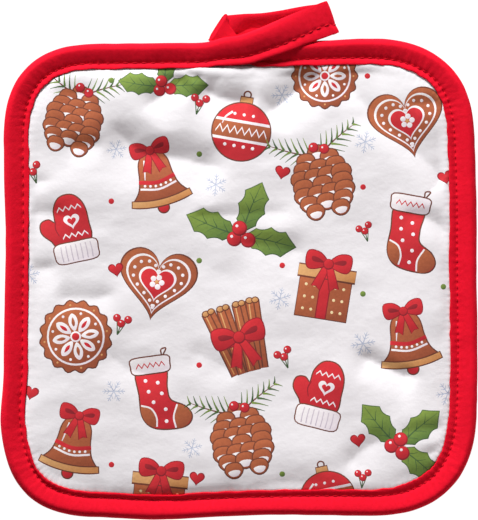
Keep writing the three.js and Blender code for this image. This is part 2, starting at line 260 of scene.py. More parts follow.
def unevenness(u, v, seed):
    """Smooth random relief from -1 to 1 with lumps one unit wide, which repeats after 64."""
    cells = np.random.default_rng(seed).uniform(-1, 1, (64, 64))
    i, j = np.floor(u).astype(int), np.floor(v).astype(int)
    fu, fv = ease(u - i), ease(v - j)
    near, far = (cells[k % 64, j % 64] * (1 - fv) + cells[k % 64, (j + 1) % 64] * fv for k in (i, i + 1))
    return near * (1 - fu) + far * fu


def anticlockwise(points):
    x, y = points[:, 0], points[:, 1]
    area = (x * np.roll(y, -1) - np.roll(x, -1) * y).sum()
    return points if area > 0 else points[::-1]


# Outer edge of the mat
def inwards(points):
    """The way in from each point of a line that runs anticlockwise."""
    return left_of(unit(np.roll(points, -1, 0) - np.roll(points, 1, 0)))


def outer_edge(count):
    raw = []
    for number, corner in enumerate(CORNERS):
        turn = np.linspace(0, math.pi / 2, 60)[:: -1 if number % 2 else 1]
        xy = []
        for axis, share in (("x", np.cos(turn)), ("y", np.sin(turn))):
            to = corner["to_" + axis]
            centre = SIDES[axis][to] - to * corner["reach"]
            xy.append(centre + to * corner["reach"] * np.abs(share) ** (2 / CORNER_POWER))
        raw.append(np.column_stack(xy))
    even = resampled(np.vstack(raw), count)
    push = 0
    for bow in BOWS:
        away = np.hypot(even[:, 0] - bow["x"], even[:, 1] - bow["y"]) / bow["spread"]
        push = push + bow["out"] * np.exp(-0.5 * away**2)
    return resampled(even - inwards(even) * push[:, None], count)


EDGE = outer_edge(EDGE_POINTS)
EDGE_INTO = inwards(EDGE)


def round_mean(values, half):
    """Each value's mean with its neighbours round the edge."""
    wrapped = np.concatenate([values[-half:], values, values[:half]])
    return np.convolve(wrapped, np.full(2 * half + 1, 1 / (2 * half + 1)), "valid")


def edge_turning():
    """How sharply the edge turns, from 0 on the straight to 1 in a corner."""
    step, turned = (np.linalg.norm(np.roll(v, -4, 0) - np.roll(v, 4, 0), axis=1) for v in (EDGE, EDGE_INTO))
    return ease(round_mean(turned / step, 20) * 36)


def edge_stitches(turning):
    """The count of stitches along the seam up to each point of the edge, a whole number all round."""
    seam = EDGE + EDGE_INTO * SEAM_IN
    step = np.linalg.norm(np.roll(seam, -1, 0) - seam, axis=1)
    short = np.maximum(turning, ease((EDGE[:, 0] - 75) / 15))
    count = np.cumsum(step / (STITCH + (SHORT_STITCH - STITCH) * short))
    return count * round(count[-1]) / count[-1]


EDGE_TURNING = edge_turning()
EDGE_STITCHES = edge_stitches(EDGE_TURNING)


def edge_at(columns, place):
    """Values of the edge's points, one row each, at places between them."""
    number = np.floor(place).astype(int)
    here, there = columns[number % EDGE_POINTS], columns[(number + 1) % EDGE_POINTS]
    return here + (there - here) * (place - number)[:, None]


def stitch_count(place):
    return np.interp(place % EDGE_POINTS, np.arange(EDGE_POINTS + 1), [0, *EDGE_STITCHES])


def sewn_places(x, y):
    """How much further in than SEAM_IN and HEM_IN the seam and the hem lie, and the lean, at places."""
    values = np.array([[row["seam"] - SEAM_IN, row["hem"] - HEM_IN, row["lean"]] for row in SEWN_PLACES])
    away = np.array([(x - row["x"]) ** 2 + (y - row["y"]) ** 2 for row in SEWN_PLACES])
    weights = np.exp((away.min(0) - away) / (2 * SEWN_REACH**2))
    return values.T @ (weights / weights.sum(0))


def top_edge_at(x):
    """The number of the edge's point that is nearest to x on the mat's top side."""
    return int(np.argmin(np.abs(EDGE[:, 0] - x) + 1000 * (EDGE[:, 1] < 80)))


def nearest_edge(xy):
    """Each point's nearest place on the edge, counted in edge points, and its distance inwards."""
    along = np.column_stack([EDGE_INTO[:, 1], -EDGE_INTO[:, 0]])
    parts = np.array_split(xy, len(xy) // 4000 + 1)
    squares = ((part[:, :1] - EDGE[:, 0]) ** 2 + (part[:, 1:] - EDGE[:, 1]) ** 2 for part in parts)
    number = np.concatenate([square.argmin(1) for square in squares])

    def ahead(which):
        return ((xy - EDGE[which]) * along[which]).sum(1)

    here = ahead(number)
    beside = (number + np.where(here > 0, 1, -1)) % EDGE_POINTS
    there = ahead(beside)
    place = number + np.sign(here) * np.clip(here / np.where(here == there, 1, here - there), 0, 1)
    away = xy - edge_at(EDGE, place)
    return place % EDGE_POINTS, (away * edge_at(EDGE_INTO, place)).sum(1)


def pressing(x, y):
    """How flat the tape is pressed: 0 is its full roll, 1 is under the loop."""
    rise = ease((x - PRESSED["from"]) / (PRESSED["full"] - PRESSED["from"]))
    fall = ease((PRESSED["to"] - x) / (PRESSED["to"] - PRESSED["full_to"]))
    return np.where(y > 0, np.minimum(rise, fall), 0.0)


def pressed_z(z, keeps, press):
    return z - np.maximum(0, z - PRESSED["least"]) * (1 - keeps) * press


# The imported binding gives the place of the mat's own frame in the model's
low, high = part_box("binding")
middle = (EDGE.min(0) + EDGE.max(0)) / 2
SHIFT = np.array([(low.x + high.x) / 2 / MM - middle[0], (low.y + high.y) / 2 / MM - middle[1], 0.0])


# Meshes
def joined(points, faces):
    """Points at one place made one, with unused points and closed-up faces left out.

    Gives the points, the faces and the numbers of the faces that are kept.
    """
    used = np.unique(np.concatenate(faces))
    first, same = np.unique(np.round(points[used], 4), axis=0, return_index=True, return_inverse=True)[1:]
    new = np.full(len(points), -1)
    new[used] = same.ravel()
    rings = [new[face].tolist() for face in faces]
    rings = [[v for k, v in enumerate(ring) if v != ring[k - 1]] for ring in rings]
    kept = [number for number, ring in enumerate(rings) if len(ring) > 2]
    return points[used][first], [rings[number] for number in kept], np.array(kept)


def tube_faces(rings, sides, first=0):
    """Faces of a tube whose points run round one ring after another."""
    around = [(j, (j + 1) % sides) for j in range(sides)]
    starts = range(first, first + (rings - 1) * sides, sides)
    return [[a + sides + j, a + sides + i, a + i, a + j] for a in starts for j, i in around]


def placed(name, data, place=(0, 0, 0)):
    """A new object in the scene."""
    made = bpy.data.objects.new(name, data)
    made.location = place
    bpy.context.scene.collection.objects.link(made)
    return made


def new_piece(name, points, faces, cloth, material):
    """A smooth closed mesh from points in millimetres. cloth is each point's place on the cloth."""
    mesh = bpy.data.meshes.new(name)
    mesh.from_pydata(((points + SHIFT) * MM).tolist(), [], faces)
    mesh.materials.append(material)
    mesh.shade_smooth()
    place = mesh.attributes.new("cloth", "FLOAT_VECTOR", "POINT")
    place.data.foreach_set("vector", np.column_stack([cloth, np.zeros(len(cloth))]).ravel())
    piece = placed(name, mesh)
    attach(piece, "root")
    return piece


# Shader maths as Python expressions
class Value:
    """An output socket; an operator adds the Math node for it."""

    def __init__(self, shader, socket):
        self.shader = shader
        self.socket = socket

    def maths(self, operation, *given):
        return self.shader.add("ShaderNodeMath", {"operation": operation}, dict(enumerate(given)))

    def __add__(self, other):
        return self.maths("ADD", self, other)

    def __sub__(self, other):
        return self.maths("SUBTRACT", self, other)

    def __rsub__(self, other):
        return self.maths("SUBTRACT", other, self)

    def __mul__(self, other):
        return self.maths("MULTIPLY", self, other)

    __radd__ = __add__
    __rmul__ = __mul__

    def ripple(self):
        """The size of its sine: a row of threads side by side."""
        return self.maths("ABSOLUTE", self.maths("SINE", self))


class Shader:
    """A material's nodes, made by one method that takes a type, its settings and its inputs."""

    def __init__(self, name):
        self.material = bpy.data.materials.new(name)
        self.material.use_nodes = True
        self.tree = self.material.node_tree
        self.surface = self.tree.nodes["Principled BSDF"]

    def feed(self, socket, given):
        if isinstance(given, Value):
            self.tree.links.new(given.socket, socket)
        else:
            socket.default_value = given

    def add(self, kind, settings=None, inputs=None, output=0):
        node = self.tree.nodes.new(kind)
        for key, setting in (settings or {}).items():
            if key == "stops":
                for stop, (at, colour) in zip(node.color_ramp.elements, setting):
                    stop.position = at
                    stop.color = colour
            else:
                setattr(node, key, setting)
        for key, given in (inputs or {}).items():
            self.feed(node.inputs[key], given)
        return Value(self, node.outputs[output])

    def finish(self, sockets):
        for key, given in sockets.items():
            self.feed(self.surface.inputs[key], given)
        return self.material


def woven(shader, turn, thread, lumps, deep):
    """Place on the cloth in millimetres, and the bump of a plain weave with soft lumps."""
    place = shader.add("ShaderNodeAttribute", {"attribute_name": "cloth"}, output="Vector")
    turned = shader.add("ShaderNodeMapping", {}, {"Vector": place, "Rotation": (0, 0, turn)})
    wander = shader.add("ShaderNodeTexNoise", {}, {"Vector": turned, "Scale": 0.5, "Detail": 2.0})
    x, y = (shader.add("ShaderNodeSeparateXYZ", {}, {"Vector": turned}, axis) for axis in "XY")
    warp, weft = (((along + wander * 0.6) * (math.pi / thread)).ripple() for along in (x, y))
    soft = {"Vector": turned, "Scale": 0.38, "Detail": 4.0, "Roughness": 0.6}
    height = (warp + weft) * 0.25 + shader.add("ShaderNodeTexNoise", {}, soft) * lumps
    bump = {"Height": height, "Strength": 0.8, "Distance": deep * MM}
    return turned, shader.add("ShaderNodeBump", {}, bump)


def printed_cotton():
    shader = Shader("printed_cotton")
    place, bump = woven(shader, 0.0, 0.42, 2.6, 0.05)
    ink = shader.add("ShaderNodeAttribute", {"attribute_name": "ink"}, output="Color")
    wash = shader.add("ShaderNodeAttribute", {"attribute_name": "ink"}, output="Alpha")
    speckle = shader.add("ShaderNodeTexNoise", {}, {"Vector": place, "Scale": 0.9, "Detail": 4.0})
    darken = {"data_type": "RGBA", "blend_type": "MULTIPLY"}
    deeper = shader.add("ShaderNodeMix", darken, {0: 1.0, 6: ink, 7: (0.55, 0.5, 0.5, 1)}, 2)
    mottled = {0: (speckle - 0.35) * wash, 6: ink, 7: deeper}
    colour = shader.add("ShaderNodeMix", {"data_type": "RGBA"}, mottled, 2)
    return shader.finish({
        "Base Color": colour,
        "Roughness": 0.86,
        "Sheen Weight": 0.08,
        "Sheen Roughness": 0.5,
        "Normal": bump,
    })


def red_cotton(name, colour, worn, thread, turn, roughness):
    shader = Shader(name)
    place, bump = woven(shader, turn, thread, 3.2, 0.07)
    uneven = {"Vector": place, "Scale": 0.7, "Detail": 5.0, "Roughness": 0.65}
    fade = shader.add("ShaderNodeTexNoise", {}, uneven)
    shade = shader.add("ShaderNodeValToRGB", {"stops": [(0.3, colour), (0.75, worn)]}, {"Fac": fade})
    return shader.finish({
        "Base Color": shade,
        "Roughness": roughness,
        "Specular IOR Level": 0.06,
        "Sheen Weight": 0.04,
        "Sheen Roughness": 0.4,
        "Sheen Tint": (1.0, 0.35, 0.65, 1),
        "Normal": bump,
    })


PRINTED = printed_cotton()
TAPE_RED = red_cotton("red_tape", (0.65, 0.0046, 0.0175, 1), (0.75, 0.006, 0.026, 1), 0.38, math.pi / 4, 0.85)
THREAD_RED = red_cotton("red_thread", (0.55, 0.004, 0.014, 1), (0.66, 0.01, 0.024, 1), 0.2, 0.6, 0.7)


# Printed motifs. Each gives its shapes in the order of printing, as ink and outline, for a motif about 1 tall
def rgb(r, g, b):
    """A screen colour as the linear one that the renderer works in."""
    return tuple(((c / 255 + 0.055) / 1.055) ** 2.4 for c in (r, g, b))


# Each ink at its lightest and its deepest, and how far it is mottled; the ground is the cloth's own white
GROUND = (0.81, 0.792, 0.815)
INKS = {row["name"]: row for row in rows("name light deep mottle", [
    ("ground", GROUND, GROUND, 0),
    ("icing", rgb(251, 248, 248), rgb(226, 216, 224), 0.15),
    ("shade", rgb(214, 205, 214), rgb(190, 180, 194), 0.3),
    ("frost", rgb(196, 204, 220), rgb(166, 176, 200), 0.4),
    ("ginger", rgb(190, 104, 62), rgb(146, 70, 40), 0.9),
    ("crust", rgb(122, 62, 40), rgb(92, 44, 30), 0.6),
    ("honey", rgb(228, 176, 116), rgb(196, 130, 72), 0.7),
    ("cream", rgb(242, 226, 182), rgb(226, 200, 146), 0.4),
    ("red", rgb(222, 40, 50), rgb(178, 18, 34), 0.5),
    ("wine", rgb(160, 22, 36), rgb(128, 12, 28), 0.4),
    ("leaf", rgb(134, 160, 66), rgb(78, 110, 46), 0.7),
    ("pine", rgb(82, 114, 58), rgb(48, 78, 42), 0.7),
])}
# The way in which each printed shape deepens, and the longest side of its outline
WASH = unit(np.array([0.45, -0.9]))
PRINT_STEP = 1.4


def disc(x, y, radius, squash=1.0, points=24):
    turn = full_turn(points)
    return np.column_stack([x + radius * np.cos(turn), y + radius * squash * np.sin(turn)])


def beads(ink, radius, places, points=12):
    return [(ink, disc(x, y, radius, points=points)) for x, y in places]


def oblong(left, low, right, high):
    return np.array([(left, low), (right, low), (right, high), (left, high)])


def rounded(points, count):
    return smooth_curve(points, count, closed=True)


def stripe(points, wide, narrow=None, count=14):
    """A stripe along a smooth line, from one width to another."""
    line = smooth_curve(points, count)
    along = unit(np.gradient(line, axis=0))
    side = left_of(along) * np.linspace(wide, wide if narrow is None else narrow, count)[:, None] / 2
    return np.vstack([line + side, (line - side)[::-1]])


def zigzag(x1, x2, y, teeth, deep, wide):
    """A zigzag stripe, level between two places."""
    x = np.linspace(x1, x2, 2 * teeth + 1)
    up = y + deep * (np.arange(len(x)) % 2 - 0.5)
    return np.vstack([np.column_stack([x, up + wide / 2]), np.column_stack([x, up - wide / 2])[::-1]])


def grown(points, by):
    points = anticlockwise(points)
    return points - by * inwards(points)


def two_sided(side):
    """A shape that is the same left and right, from its right side."""
    return np.vstack([side, side[::-1] * (-1, 1)])


def edged(ink, points, by=0.016):
    """A shape with a thin dark edge round it."""
    return [("crust", grown(points, by)), (ink, points)]


def set_at(shapes, x, y, size=1.0, turn=0.0):
    c, s = math.cos(math.radians(turn)), math.sin(math.radians(turn))
    return [(ink, size * p @ np.array([[c, s], [-s, c]]) + (x, y)) for ink, p in shapes]


def heart_line(size, x=0.0, y=0.0, points=72):
    t = full_turn(points)
    across = 16 * np.sin(t) ** 3
    up = 13 * np.cos(t) - 5 * np.cos(2 * t) - 2 * np.cos(3 * t) - np.cos(4 * t)
    return np.column_stack([x + across * size / 34, y + (up + 2) * size / 34])


def disc_zone(radius, y, low, high):
    """The part of a disc between two levels."""
    t = np.linspace(math.asin(low / radius), math.asin(high / radius), 10)
    side = np.column_stack([radius * np.cos(t), radius * np.sin(t)])
    return two_sided(side) + (0, y)


def bow():
    wing = rounded([(0.02, 0.02), (0.2, 0.22), (0.46, 0.24), (0.5, 0.02), (0.42, -0.14), (0.18, -0.1)], 24)
    crease = rounded([(0.1, 0.03), (0.26, 0.12), (0.38, 0.12), (0.36, 0.03), (0.24, 0.01)], 12)
    tail = np.array([(-0.04, -0.02), (0.1, -0.06), (0.3, -0.52), (0.2, -0.5), (0.12, -0.6)])
    sides = [[("wine", grown(p, 0.02)), ("red", p)] for p in (tail, wing)]
    right = [*sides[0], *sides[1], ("wine", crease)]
    left = [(ink, p * (-1, 1)) for ink, p in right]
    return [*left, *right, ("wine", disc(0, 0, 0.12)), ("red", disc(0, 0.01, 0.1))]


def bell():
    side = [(0, 0.36), (0.09, 0.34), (0.18, 0.22), (0.21, 0.02), (0.26, -0.14), (0.37, -0.27)]
    rim = [(-0.38, -0.27), (-0.2, -0.31), (0, -0.325), (0.2, -0.31), (0.38, -0.27)]
    trim = smooth_curve([(-0.235, -0.1), (0, -0.15), (0.235, -0.1)], 8)
    return [
        *edged("red", disc(0, -0.39, 0.065)),
        *edged("ginger", two_sided(smooth_curve(side, 22))),
        ("icing", stripe([(-0.1, 0.25), (-0.13, 0.1), (-0.15, 0.0)], 0.03, 0.01)),
        ("icing", stripe(trim, 0.026)),
        ("red", stripe(trim + (0, 0.09), 0.05)),
        *beads("icing", 0.017, trim[1:-1] + (0, 0.045), 10),
        *edged("honey", stripe(rim, 0.075)),
        *set_at(bow(), 0, 0.36, 0.5),
    ]


def iced_heart():
    petals = [(0.06 * math.cos(a), 0.03 + 0.06 * math.sin(a)) for a in np.arange(5) * 1.257]
    return [
        ("crust", heart_line(1.04)),
        ("ginger", heart_line(1.0)),
        ("icing", heart_line(0.86)),
        ("ginger", heart_line(0.8)),
        *beads("icing", 0.021, heart_line(0.66, points=22), 10),
        ("icing", heart_line(0.5)),
        ("red", heart_line(0.44)),
        *beads("icing", 0.035, petals),
        *beads("honey", 0.025, [(0, 0.03)]),
    ]


def mitten():
    hand = [(0.2, -0.2), (0.23, 0.04), (0.21, 0.26), (0.1, 0.4), (-0.07, 0.4), (-0.17, 0.27), (-0.19, 0.1),
            (-0.27, 0.15), (-0.37, 0.12), (-0.38, 0), (-0.28, -0.12), (-0.18, -0.22)]
    cuff = [(-0.24, -0.2), (0, -0.19), (0.26, -0.2), (0.28, -0.32), (0.25, -0.43), (0, -0.44), (-0.23, -0.43),
            (-0.27, -0.32)]
    ribs = np.linspace(-0.18, 0.2, 7)
    return [
        *edged("red", rounded(hand, 56)),
        ("wine", stripe([(-0.18, 0.12), (-0.2, 0.02), (-0.17, -0.08)], 0.02, 0.008)),
        ("icing", zigzag(-0.14, 0.18, 0.25, 4, 0.05, 0.022)),
        ("icing", zigzag(-0.13, 0.2, -0.1, 4, 0.05, 0.022)),
        ("icing", heart_line(0.22, 0.025, 0.07)),
        ("red", heart_line(0.12, 0.025, 0.07)),
        *edged("icing", rounded(cuff, 30)),
        *[("shade", stripe([(x, -0.22), (x * 1.03, -0.32), (x, -0.42)], 0.014)) for x in ribs],
    ]


def stocking():
    sock = [(-0.16, 0.3), (0.16, 0.3), (0.155, 0.05), (0.18, -0.1), (0.34, -0.2), (0.4, -0.32), (0.32, -0.42),
            (0.1, -0.43), (-0.08, -0.38), (-0.17, -0.24), (-0.17, 0)]
    toe = [(0.25, -0.16), (0.36, -0.22), (0.4, -0.32), (0.32, -0.42), (0.2, -0.43), (0.19, -0.3)]
    heel = [(-0.17, -0.12), (-0.08, -0.16), (-0.02, -0.26), (-0.02, -0.39), (-0.12, -0.35), (-0.175, -0.24)]
    cuff = [(-0.21, 0.42), (0, 0.43), (0.21, 0.42), (0.225, 0.34), (0.2, 0.25), (0, 0.24), (-0.2, 0.25),
            (-0.225, 0.34)]
    dots = [(-0.08, 0.16), (0.06, 0.12), (-0.06, 0.03), (0.09, -0.01), (-0.02, -0.1), (0.11, -0.2),
            (0.1, -0.34)]
    return [
        *edged("red", rounded(sock, 56)),
        ("ginger", rounded(toe, 26)),
        ("ginger", rounded(heel, 24)),
        ("icing", stripe([(0.25, -0.16), (0.19, -0.3), (0.2, -0.43)], 0.02)),
        ("icing", stripe([(-0.17, -0.12), (-0.06, -0.17), (-0.01, -0.28), (-0.02, -0.39)], 0.02)),
        *beads("icing", 0.022, dots),
        *edged("icing", rounded(cuff, 28)),
        ("red", zigzag(-0.17, 0.17, 0.335, 5, 0.05, 0.02)),
        ("crust", stripe([(0.17, 0.44), (0.21, 0.51), (0.15, 0.5), (0.15, 0.43)], 0.018)),
    ]


def bauble():
    return [
        ("crust", disc(0, 0.43, 0.055)),
        ("ground", disc(0, 0.43, 0.035)),
        *edged("honey", np.array([(-0.08, 0.3), (0.08, 0.3), (0.075, 0.395), (-0.075, 0.395)])),
        *edged("red", disc(0, -0.05, 0.37, points=44)),
        ("ginger", disc_zone(0.37, -0.05, -0.1, 0.12)),
        ("icing", disc_zone(0.37, -0.05, 0.11, 0.145)),
        ("icing", disc_zone(0.37, -0.05, -0.13, -0.095)),
        ("icing", zigzag(-0.33, 0.33, -0.04, 7, 0.09, 0.028)),
        *beads("icing", 0.022, [(x, -0.24) for x in (-0.18, -0.06, 0.06, 0.18)]),
        *beads("icing", 0.02, [(x, 0.17) for x in (-0.12, 0, 0.12)]),
        ("icing", stripe([(-0.26, 0.02), (-0.23, 0.11), (-0.15, 0.19)], 0.012, 0.03)),
    ]


def holly_leaf():
    """A spiny leaf along +X from the origin."""
    tips = [(0, 0), (0.14, 0.12), (0.32, 0.17), (0.5, 0.15), (0.66, 0)]
    upper = []
    for (x1, y1), (x2, y2) in zip(tips[:-1], tips[1:]):
        hollow = 0.55 * min(y1 + 0.06, y2 + 0.06)
        for t in (0, 0.2, 0.4, 0.6, 0.8):
            upper.append((x1 + (x2 - x1) * t, y1 + (y2 - y1) * t - hollow * t * (1 - t)))
    upper = np.array([*upper, tips[-1]])
    leaf = np.vstack([upper, (upper * (1, -1))[-2:0:-1]])
    veins = [stripe([(x, 0), (x + 0.06, 0.05), (x + 0.1, 0.1)], 0.012, 0.004, 6) for x in (0.12, 0.26, 0.4)]
    return [
        ("pine", grown(leaf, 0.012)),
        ("leaf", leaf),
        ("pine", stripe([(0, 0), (0.3, 0.012), (0.62, 0)], 0.022, 0.006)),
        *[("pine", vein * (1, side)) for side in (1, -1) for vein in veins],
    ]


def berry(x, y, size):
    return [
        ("wine", disc(x, y, size)),
        ("red", disc(x - 0.06 * size, y + 0.08 * size, size * 0.86)),
        ("icing", disc(x - 0.32 * size, y + 0.36 * size, size * 0.2, points=8)),
    ]


def holly():
    leaves = [(0.02, -0.06, 62), (-0.04, -0.08, 152), (0.03, -0.1, -18)]
    fruit = [(-0.07, -0.12), (0.08, -0.15), (0, -0.01)]
    return [
        *[shape for x, y, turn in leaves for shape in set_at(holly_leaf(), x, y, 0.9, turn)],
        *[shape for x, y in fruit for shape in berry(x, y, 0.085)],
    ]


def twig():
    """A sprig of fir along +X from the origin."""
    long = 0.7
    shapes = [("crust", stripe([(0, 0), (long / 2, 0.02), (long, 0)], 0.028, 0.008))]
    for k, share in enumerate(np.linspace(0.1, 0.95, 7)):
        reach = 0.2 * (1.15 - share * 0.75)
        for side in (1, -1):
            root = np.array([share * long, 0.01])
            tip = np.array([share * long + reach * 0.85, side * reach])
            bend = (root + tip) / 2 - (0, side * 0.012)
            ink = "pine" if (k + (side > 0)) % 2 else "leaf"
            shapes.append((ink, stripe([root, bend, tip], 0.034, 0.006, 5)))
    return shapes


def cone():
    """A frosted fir cone between two sprigs, its scales laid from the top row down."""
    scale = rounded([(-1, 0), (-0.6, 0.8), (0.6, 0.8), (1, 0), (0.4, -0.75), (-0.4, -0.75)], 16)
    tip = rounded([(-0.7, -0.1), (0, 0.1), (0.7, -0.1), (0.35, -0.62), (-0.35, -0.62)], 12)
    shapes = [*set_at(twig(), 0, 0.3, 0.85, 155), *set_at(twig(), 0, 0.3, 0.85, 30)]
    for y, many, wide in [(0.35, 1, 0), (0.27, 2, 0.14), (0.17, 3, 0.19), (0.07, 4, 0.24), (-0.03, 3, 0.23),
                          (-0.13, 4, 0.24), (-0.23, 3, 0.2), (-0.33, 2, 0.15)]:
        size = 0.115 - 0.06 * max(0, abs(y + 0.02) - 0.1)
        for x in np.linspace(-wide, wide, many):
            shapes += [*edged("ginger", scale * size + (x, y), 0.014), ("icing", tip * size + (x, y))]
    return [*shapes, *berry(0.1, 0.38, 0.06), *berry(-0.02, 0.42, 0.06)]


def spice_sticks():
    """A bundle of bark quills tied with ribbon."""
    roll = [
        *edged("ginger", oblong(-0.07, -0.4, 0.07, 0.4)),
        ("crust", stripe([(0.015, -0.39), (0.02, 0), (0.015, 0.39)], 0.016)),
        ("honey", stripe([(-0.04, -0.38), (-0.042, 0), (-0.04, 0.38)], 0.014)),
        *edged("honey", disc(-0.032, 0.4, 0.036, 0.8, 14), 0.012),
        *edged("honey", disc(0.036, 0.4, 0.034, 0.8, 14), 0.012),
    ]
    band = oblong(-0.27, -0.06, 0.27, 0.06)
    quills = [(-0.2, 10), (0.21, -8), (-0.07, 3), (0.08, -3)]
    return [
        *[shape for x, lean in quills for shape in set_at(roll, x, 0, 1, lean)],
        ("wine", grown(band, 0.014)),
        ("red", band),
        ("icing", stripe([(-0.26, 0), (0, 0), (0.26, 0)], 0.016)),
        *set_at(bow(), 0, 0.02, 0.62),
    ]


def iced_round():
    """A round biscuit with an iced rosette."""
    t = full_turn(96)
    wavy = 0.44 + 0.022 * np.cos(16 * t)
    petal = rounded([(0.07, 0), (0.16, 0.055), (0.25, 0.05), (0.3, 0), (0.25, -0.05), (0.16, -0.055)], 18)
    heart = rounded([(0.13, 0), (0.18, 0.022), (0.25, 0), (0.18, -0.022)], 12)
    shapes = [
        *edged("ginger", np.column_stack([wavy * np.cos(t), wavy * np.sin(t)])),
        ("icing", disc(0, 0, 0.37, points=36)),
        ("ginger", disc(0, 0, 0.345, points=36)),
    ]
    for k in range(8):
        shapes += set_at([("icing", petal), ("red" if k % 2 else "ginger", heart)], 0, 0, 1, k * 45)
        shapes += set_at(beads("icing", 0.018, [(0.3, 0)], 10), 0, 0, 1, k * 45 + 22.5)
        shapes += set_at(beads("honey", 0.014, [(0.405, 0)], 8), 0, 0, 1, k * 45)
    return [*shapes, ("icing", disc(0, 0, 0.07)), ("red", disc(0, 0, 0.048))]


def parcel():
    return [
        *edged("ginger", oblong(-0.34, -0.42, 0.34, 0.1)),
        *beads("cream", 0.02, [(x, y) for y in (-0.32, -0.16, 0) for x in (-0.25, -0.14, 0.14, 0.25)], 10),
        *edged("honey", oblong(-0.38, 0.1, 0.38, 0.25)),
        ("wine", oblong(-0.075, -0.42, 0.075, 0.25)),
        ("red", oblong(-0.06, -0.42, 0.06, 0.25)),
        ("crust", oblong(-0.38, 0.094, 0.38, 0.108)),
        *set_at(bow(), 0, 0.3, 0.6),
    ]


def flake():
    """A six-armed snow crystal."""
    arm = [("frost", stripe([(0, 0), (0.25, 0), (0.48, 0)], 0.04, 0.03, 5))]
    for x, reach in ((0.18, 0.12), (0.32, 0.1)):
        for side in (1, -1):
            branch = [(x, 0), (x + reach / 2, side * reach / 2), (x + reach, side * reach)]
            arm.append(("frost", stripe(branch, 0.032, 0.02, 5)))
    return [shape for k in range(6) for shape in set_at(arm, 0, 0, 1, 60 * k)]


def small_heart():
    return [("wine", heart_line(1.0, points=30)), ("red", heart_line(0.84, points=30))]


def berries():
    stems = [(-0.25, 0.2), (0.22, 0.3), (0, 0.05)]
    fruit = [(-0.25, 0.22), (0.22, 0.3), (0, 0.05)]
    return [
        *[("pine", stripe([(0, -0.45), (x / 2, -0.1), (x, y)], 0.05, 0.03, 6)) for x, y in stems],
        *[shape for x, y in fruit for shape in berry(x, y, 0.17)],
    ]


def dot():
    return [("red", disc(0, 0, 0.5, points=16))]


def green_dot():
    return [("leaf", disc(0, 0, 0.5, points=16))]


# Layout of the print: columns of large motifs, each half a step on from the last, and small ones between
PRINT = rows("motif x y size turn", [
    (cone, -70, 67, 34, -14), (mitten, -71, 22, 33, 12), (iced_round, -69, -24, 33, 10),
    (bell, -70, -69, 33, -12),
    (bell, -35, 43, 33, 14), (iced_heart, -35, -2, 34, -10), (stocking, -36, -48, 36, 8),
    (holly, -33, 84, 30, 20), (parcel, -34, -90, 31, -6),
    (bauble, 1, 64, 33, -10), (holly, 0, 22, 38, 6), (spice_sticks, 0, -25, 36, 16), (cone, 1, -68, 36, 10),
    (iced_round, 36, 86, 30, 0), (cone, 35, 41, 36, 12), (parcel, 36, -3, 32, -9), (mitten, 35, -48, 33, -14),
    (bauble, 37, -91, 31, 12),
    (iced_heart, 71, 66, 33, 12), (stocking, 70, 20, 36, -10), (bell, 71, -25, 33, 10),
    (holly, 68, -67, 36, -22),
    *[(flake, *place) for place in [
        (-52, 55, 9, 10), (-10, 40, 10, 25), (18, 78, 10, 5), (53, 58, 10, 20), (-53, -47, 10, 0),
        (-20, -71, 9, 15), (52, -27, 11, 10), (17, -8, 10, 18), (88, -48, 11, 8), (-89, 2, 10, 12),
    ]],
    *[(small_heart, x, y, 7, turn) for x, y, turn in [
        (-52, 4, 10), (18, 45, -12), (50, -68, 8), (-18, -84, -8), (87, 43, 14), (-88, -48, -14),
    ]],
    *[(berries, *place) for place in [
        (-17, 74, 10, -16), (53, 20, 9, 14), (-50, -19, 10, -20), (19, -33, 10, 18), (-87, 45, 10, 16),
        (52, -84, 9, -6),
    ]],
    *[(dot, x, y, 2.4, 0) for x, y in [(-54, 33), (18, 6), (52, 39), (-17, -36), (54, 86), (-54, -78)]],
    *[(green_dot, x, y, 2.4, 0) for x, y in [(-17, 8), (52, -6), (-17, 53), (18, -82), (-54, 84), (86, -3)]],
])


def finer(points, longest):
    """The same outline with points added along its longer sides."""
    sides = np.roll(points, -1, 0) - points
    parts = np.maximum(1, np.ceil(np.linalg.norm(sides, axis=1) / longest).astype(int))
    return np.vstack([p + d * np.arange(n)[:, None] / n for p, d, n in zip(points, sides, parts)])


def printed_shapes():
    shapes = []
    for row in PRINT:
        for ink, points in set_at(row["motif"](), row["x"], row["y"], row["size"], row["turn"]):
            outline = finer(points, PRINT_STEP)
            down = outline @ WASH
            extent = max(down.max() - down.min(), 0.5)
            shapes.append({**INKS[ink], "outline": outline, "from": down.min(), "extent": extent})
    return shapes


# Pad
def fold_lift(xy):
    """The folds' height: the cloth rises evenly from each valley's line, and the deepest valley counts."""
    deepest = np.zeros(len(xy))
    for fold in FOLDS:
        line = smooth_curve(fold["line"], 8 * len(fold["line"]))
        along = unit(np.gradient(line, axis=0))
        reach = 2.2 * max(fold["above"], fold["below"])
        some = np.flatnonzero((xy > line.min(0) - reach).all(1) & (xy < line.max(0) + reach).all(1))
        away = xy[some, None] - line
        square = (away**2).sum(2)
        weight = np.exp((square.min(1, keepdims=True) - square) / (2 * FOLD_SOFT**2))
        weight /= weight.sum(1, keepdims=True)
        above = (weight * (away[:, :, 1] * along[:, 0] - away[:, :, 0] * along[:, 1])).sum(1)
        share = (weight * np.linspace(0, 1, len(line))).sum(1)
        wide = np.where(above > 0, fold["above"], fold["below"])
        soft = np.sqrt(above**2 + FOLD_ROUND**2) - FOLD_ROUND
        strength = ease(share / fold["starts"]) * (1 - ease((share - fold["fades"]) / (1 - fold["fades"])))
        depth = fold["deep"] * strength * np.log1p(np.exp(FOLD_CREST * (1 - soft / wide))) / FOLD_CREST
        deepest[some] = (deepest[some] ** 4 + depth**4) ** 0.25
    return -deepest


